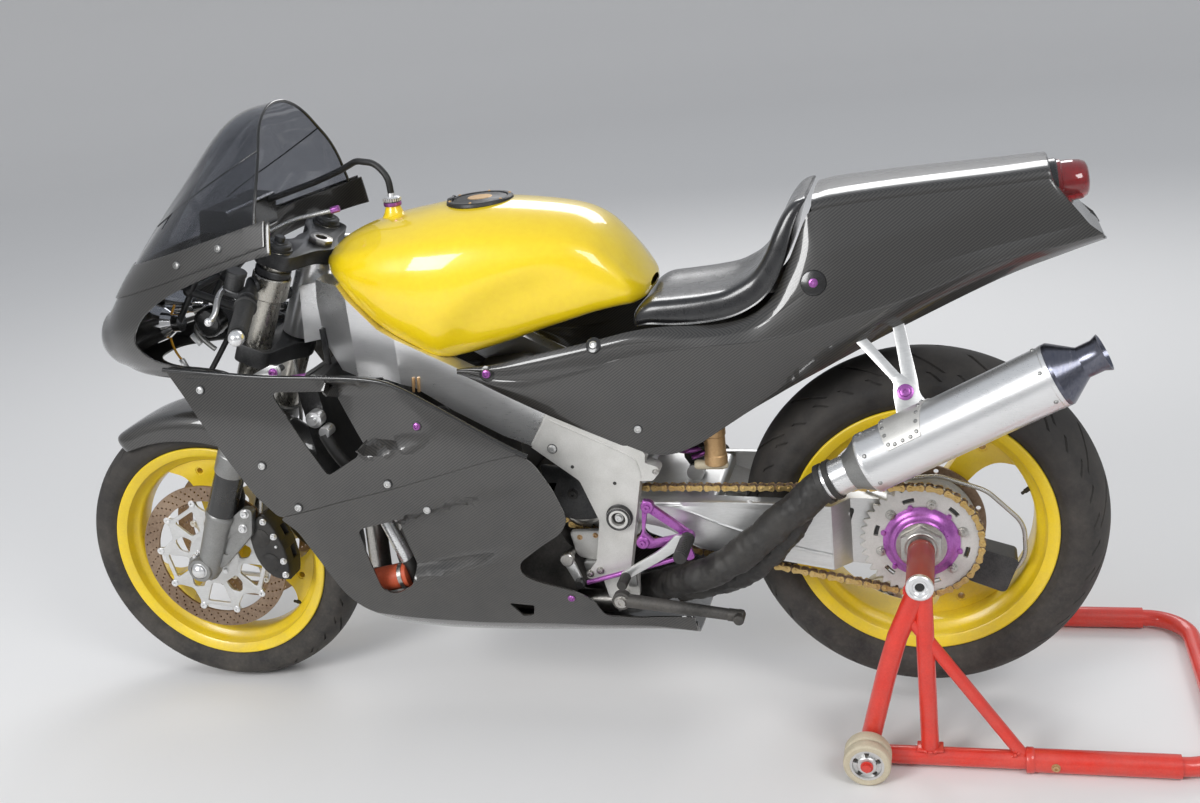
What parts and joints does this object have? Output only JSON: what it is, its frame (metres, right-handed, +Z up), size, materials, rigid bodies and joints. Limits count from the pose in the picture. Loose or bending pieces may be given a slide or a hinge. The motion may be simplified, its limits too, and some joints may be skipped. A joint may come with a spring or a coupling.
{
  "type": "race sport motorcycle on a paddock stand",
  "caption": "Race sport motorcycle with steering, spinning wheels, folding side stand and hinged filler lid, held by a one sided tubular paddock stand.",
  "frame": {"origin": "centre of the overall box, on the floor", "axes": "+X forward along the bike, +Y to the rider's left, +Z up"},
  "size_m": [2.203, 0.7042, 1.1949],
  "materials": {
    "tank_paint": "gloss yellow",
    "wheel_paint": "gloss yellow",
    "carbon": "clear coated woven carbon",
    "tyre_rubber": "worn slick rubber",
    "polished_alloy": "polished",
    "cast_alloy": "fine cast",
    "satin_alloy": "satin",
    "dark_alloy": "black anodised",
    "steel": "brushed",
    "rotor_iron": "rust brown",
    "chain_gold": "gold",
    "purple_alloy": "purple anodised",
    "black_steel": "heat wrapped black",
    "red_powder": "red powder coat",
    "seat_foam": "black foam",
    "grip_rubber": "moulded",
    "hose_rubber": "hose",
    "braid": "steel braid",
    "screen": "smoked",
    "lens_red": "dark red",
    "lamp": "black lamp bodies",
    "engine_metal": "cast cases",
    "wheel_tread": "beige roller"
  },
  "bodies": {
    "chassis": {"chain": "chain_gold", "drive_sprocket": "steel", "frame_spars": "polished_alloy", "pivot_plates": "cast_alloy", "engine": "engine_metal", "radiator": "dark_alloy", "exhaust_headers": "steel", "link_pipe": "black_steel", "silencer": "steel", "silencer_hanger": "satin_alloy", "swingarm": "satin_alloy", "hub_carrier": "satin_alloy", "rear_caliper": "dark_alloy", "rear_shock": "steel", "fuel_tank": "tank_paint", "filler_ring": "satin_alloy", "breather_hose": "hose_rubber", "seat_cowl": "carbon", "seat_pad": "seat_foam", "subframe": "satin_alloy", "tail_light": "lens_red", "windscreen": "screen", "nose_cowl": "carbon", "headlights": "lamp", "fairing_stay": "dark_alloy", "instruments": "lamp", "side_fairing_left": "carbon", "side_fairing_right": "carbon", "belly_pan": "carbon", "rearsets": "purple_alloy", "stand_frame": "red_powder", "stand_sleeve": "red_powder", "rear_brake_hose": "braid"},
    "steering": {"upper_clamp": "polished_alloy", "lower_clamp_stem": "dark_alloy", "fork_tubes": "dark_alloy", "fork_lowers": "dark_alloy", "fork_feet": "cast_alloy", "front_axle": "steel", "front_calipers": "dark_alloy", "front_mudguard": "carbon", "clip_ons": "polished_alloy", "grips": "grip_rubber", "levers": "dark_alloy", "front_brake_hoses": "braid"},
    "front_wheel": {"front_tyre": "tyre_rubber", "front_rim": "wheel_paint", "front_discs": "rotor_iron", "front_disc_carriers": "satin_alloy"},
    "rear_wheel": {"rear_tyre": "tyre_rubber", "rear_rim": "wheel_paint", "rear_disc": "rotor_iron", "rear_axle": "steel", "rear_sprocket": "satin_alloy", "sprocket_carrier": "purple_alloy"},
    "side_stand": {"side_stand": "steel"},
    "filler_lid": {"filler_lid": "satin_alloy"},
    "stand_wheels_left": {"stand_wheel_left": "wheel_tread"},
    "stand_wheels_right": {"stand_wheel_right": "wheel_tread"}
  },
  "joints": [
    {"name": "steering_turn", "type": "hinge", "parent": "chassis", "child": "steering", "pos_m": [0.4897, 0, 0.90503], "axis": [-0.4011, 0, 0.916], "range_deg": [-24, 24]},
    {"name": "front_wheel_spin", "type": "hinge", "parent": "steering", "child": "front_wheel", "pos_m": [0.8075, 0, 0.294], "axis": [0, 1, 0], "continuous": true},
    {"name": "rear_wheel_spin", "type": "hinge", "parent": "chassis", "child": "rear_wheel", "pos_m": [-0.5975, 0, 0.35703], "axis": [0, 1, 0], "continuous": true},
    {"name": "side_stand_fold", "type": "hinge", "parent": "chassis", "child": "side_stand", "pos_m": [-0.0725, 0.186, 0.27603], "axis": [0, 1, 0], "range_deg": [-95, 0]},
    {"name": "filler_lid_hinge", "type": "hinge", "parent": "chassis", "child": "filler_lid", "pos_m": [0.212, 0, 0.98353], "axis": [0, 1, 0], "range_deg": [0, 100]},
    {"name": "stand_wheel_left_spin", "type": "hinge", "parent": "chassis", "child": "stand_wheels_left", "pos_m": [-0.5025, 0.296, 0.04], "axis": [0, 1, 0], "continuous": true},
    {"name": "stand_wheel_right_spin", "type": "hinge", "parent": "chassis", "child": "stand_wheels_right", "pos_m": [-0.5025, -0.296, 0.04], "axis": [0, 1, 0], "continuous": true}
  ]
}
